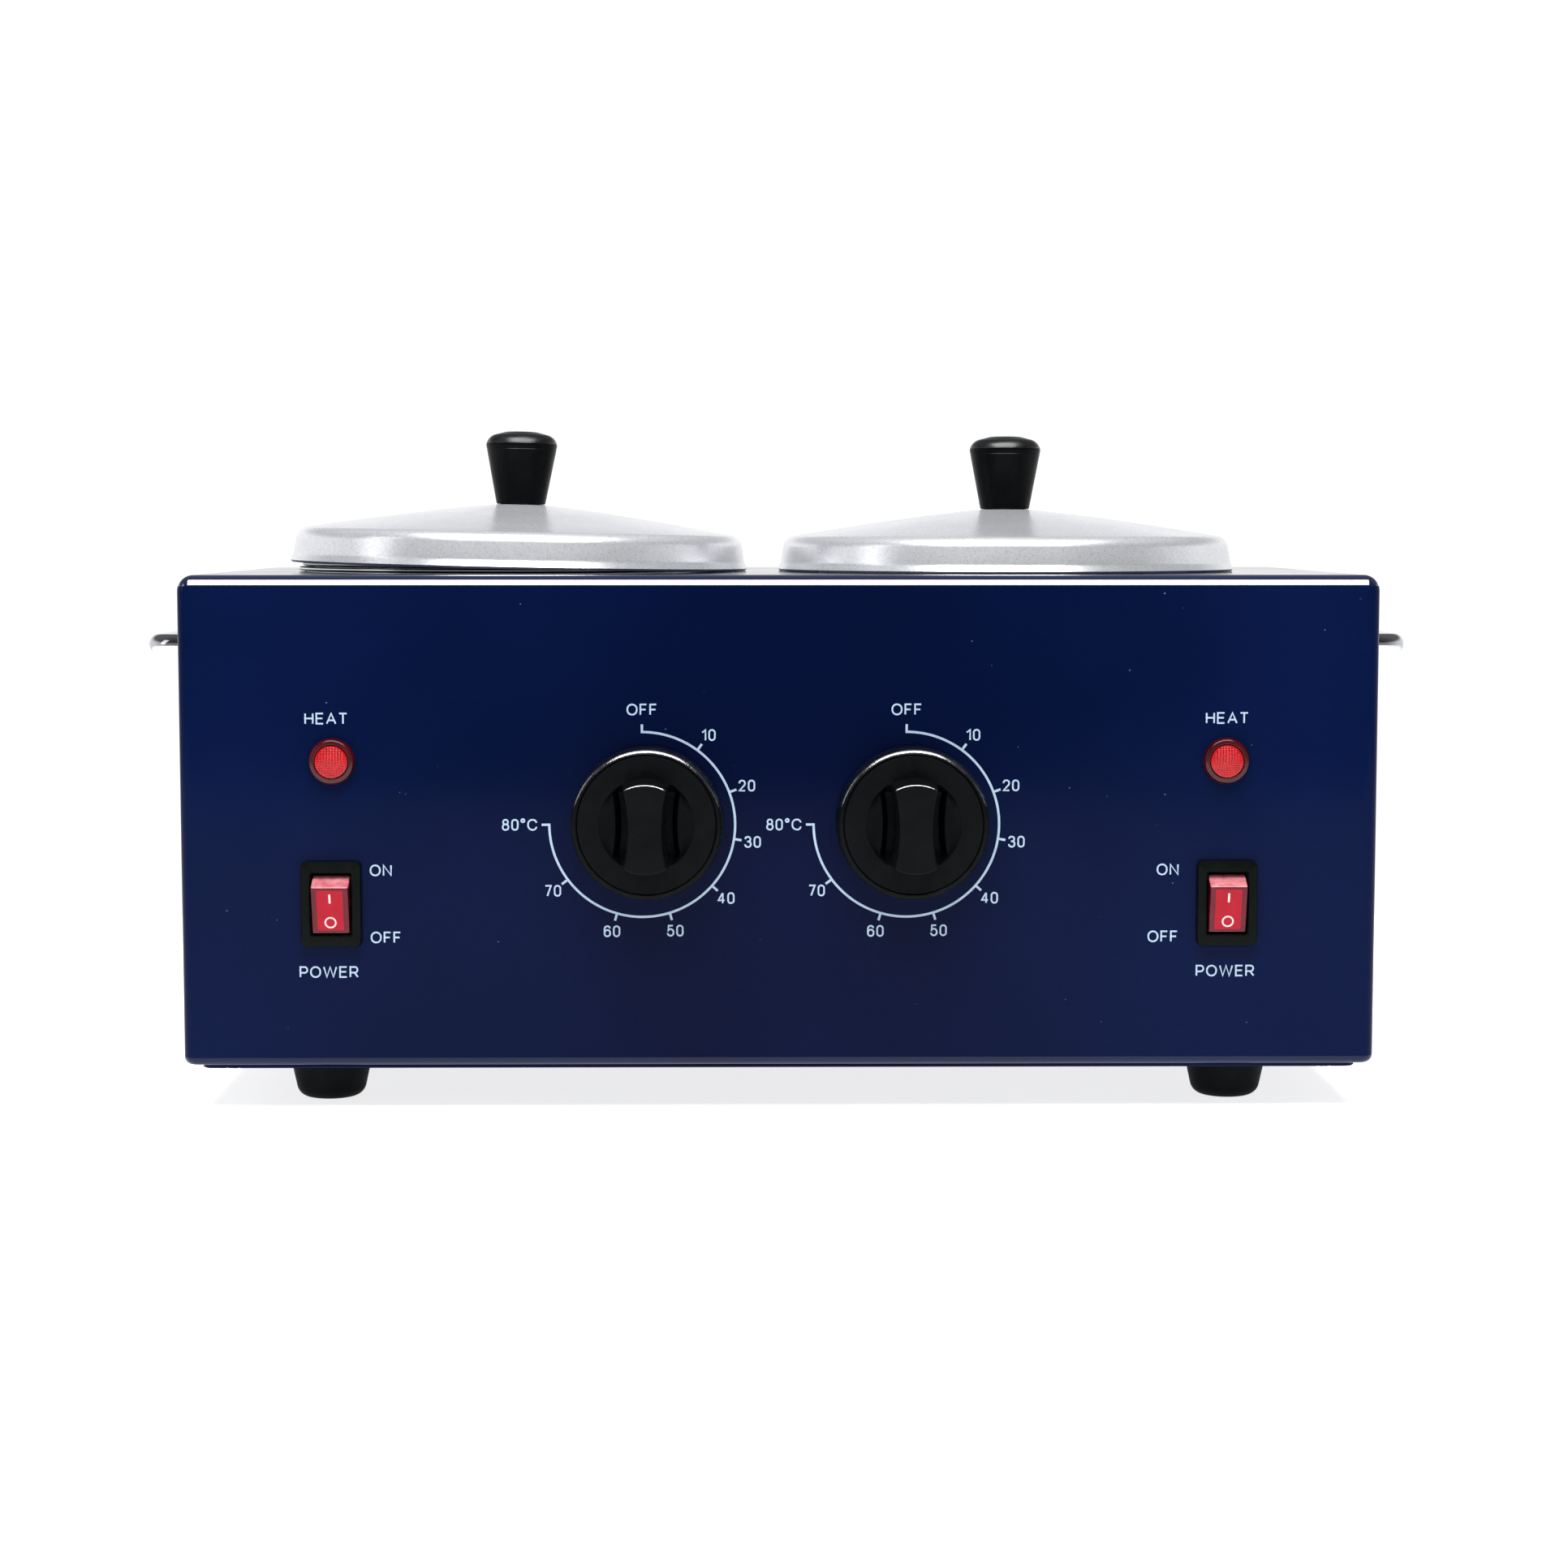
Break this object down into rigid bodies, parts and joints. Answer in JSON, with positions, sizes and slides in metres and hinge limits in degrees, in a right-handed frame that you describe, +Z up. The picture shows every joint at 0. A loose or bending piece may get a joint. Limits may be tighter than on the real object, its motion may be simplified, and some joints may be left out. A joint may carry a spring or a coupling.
{
  "type": "double wax warmer",
  "caption": "Painted steel countertop warmer with lidded wells for loose aluminium wax pots, and a thermostat knob, pilot lamp and rocker switch for each well.",
  "frame": {"origin": "centre of the bounding box in plan, on the ground under the feet", "axes": "+X to the right seen from the front, +Y from front to back, +Z up; left in a name is -X"},
  "size_m": [0.333, 0.174, 0.1726],
  "materials": {
    "navy_paint": "gloss stoved enamel",
    "drawn_aluminium": "drawn, satin",
    "frosted_aluminium": "fine sandblasted and anodised",
    "lid_knob_plastic": "moulded, satin",
    "dial_plastic": "moulded, semi-gloss",
    "switch_plastic": "moulded, satin",
    "rocker_plastic": "clear-tinted, gloss",
    "lamp_plastic": "clear-tinted, gloss",
    "foot_rubber": "moulded, matt",
    "chrome": "polished",
    "zinc_steel": "zinc plated",
    "heater_band": "rolled steel over mica",
    "ceramic": "unglazed",
    "copper": "drawn tube",
    "brass": "stamped",
    "wire_sleeve": "braided glass-fibre sleeve"
  },
  "bodies": {
    "root": {"band_heater_left": "heater_band", "band_heater_right": "heater_band", "base_plate": "navy_paint", "foot_back_left": "foot_rubber", "foot_back_right": "foot_rubber", "foot_front_left": "foot_rubber", "foot_front_right": "foot_rubber", "foot_screw_back_left": "zinc_steel", "foot_screw_back_right": "zinc_steel", "foot_screw_front_left": "zinc_steel", "foot_screw_front_right": "zinc_steel", "handle_nut_left_back": "zinc_steel", "handle_nut_left_front": "zinc_steel", "handle_nut_right_back": "zinc_steel", "handle_nut_right_front": "zinc_steel", "heater_clamp_screw_left": "zinc_steel", "heater_clamp_screw_right": "zinc_steel", "housing_shell": "navy_paint", "inlet_pin_earth": "brass", "inlet_pin_live": "brass", "inlet_pin_neutral": "brass", "lamp_body_left": "switch_plastic", "lamp_body_right": "switch_plastic", "lamp_lens_left": "lamp_plastic", "lamp_lens_right": "lamp_plastic", "plate_screw_back_left": "zinc_steel", "plate_screw_back_right": "zinc_steel", "plate_screw_front_left": "zinc_steel", "plate_screw_front_right": "zinc_steel", "power_inlet": "switch_plastic", "sensor_bulb_left": "copper", "sensor_bulb_right": "copper", "side_handle_left": "chrome", "side_handle_right": "chrome", "switch_body_left": "switch_plastic", "switch_body_right": "switch_plastic", "terminal_block": "ceramic", "thermostat_body_left": "ceramic", "thermostat_body_right": "ceramic", "thermostat_nut_left": "zinc_steel", "thermostat_nut_right": "zinc_steel", "well_left": "drawn_aluminium", "well_right": "drawn_aluminium", "wiring_loom_left": "wire_sleeve", "wiring_loom_right": "wire_sleeve"},
    "knob_left": {"dial_knob_left": "dial_plastic", "thermostat_shaft_left": "zinc_steel"},
    "knob_right": {"dial_knob_right": "dial_plastic", "thermostat_shaft_right": "zinc_steel"},
    "rocker_left": {"rocker_left": "rocker_plastic"},
    "rocker_right": {"rocker_right": "rocker_plastic"},
    "pot_left": {"insert_pot_left": "drawn_aluminium"},
    "pot_right": {"insert_pot_right": "drawn_aluminium"},
    "lid_left": {"lid_knob_left": "lid_knob_plastic", "lid_knob_screw_left": "zinc_steel", "lid_left": "frosted_aluminium"},
    "lid_right": {"lid_knob_right": "lid_knob_plastic", "lid_knob_screw_right": "zinc_steel", "lid_right": "frosted_aluminium"}
  },
  "joints": [
    {"name": "knob_left_turn", "type": "hinge", "parent": "root", "child": "knob_left", "pos_m": [-0.033, -0.065, 0.0736], "axis": [0, 1, 0], "range_deg": [0, 270]},
    {"name": "rocker_left_tilt", "type": "hinge", "parent": "root", "child": "rocker_left", "pos_m": [-0.112, -0.0635, 0.053], "axis": [-1, 0, 0], "range_deg": [0, 28]},
    {"name": "pot_left_lift", "type": "slide", "parent": "root", "child": "pot_left", "axis": [0, 0, 1], "range_m": [0, 0.09]},
    {"name": "lid_left_lift", "type": "slide", "parent": "pot_left", "child": "lid_left", "axis": [0, 0, 1], "range_m": [0, 0.05]},
    {"name": "knob_right_turn", "type": "hinge", "parent": "root", "child": "knob_right", "pos_m": [0.033, -0.065, 0.0736], "axis": [0, 1, 0], "range_deg": [0, 270]},
    {"name": "rocker_right_tilt", "type": "hinge", "parent": "root", "child": "rocker_right", "pos_m": [0.112, -0.0635, 0.053], "axis": [-1, 0, 0], "range_deg": [0, 28]},
    {"name": "pot_right_lift", "type": "slide", "parent": "root", "child": "pot_right", "axis": [0, 0, 1], "range_m": [0, 0.09]},
    {"name": "lid_right_lift", "type": "slide", "parent": "pot_right", "child": "lid_right", "axis": [0, 0, 1], "range_m": [0, 0.05]}
  ]
}
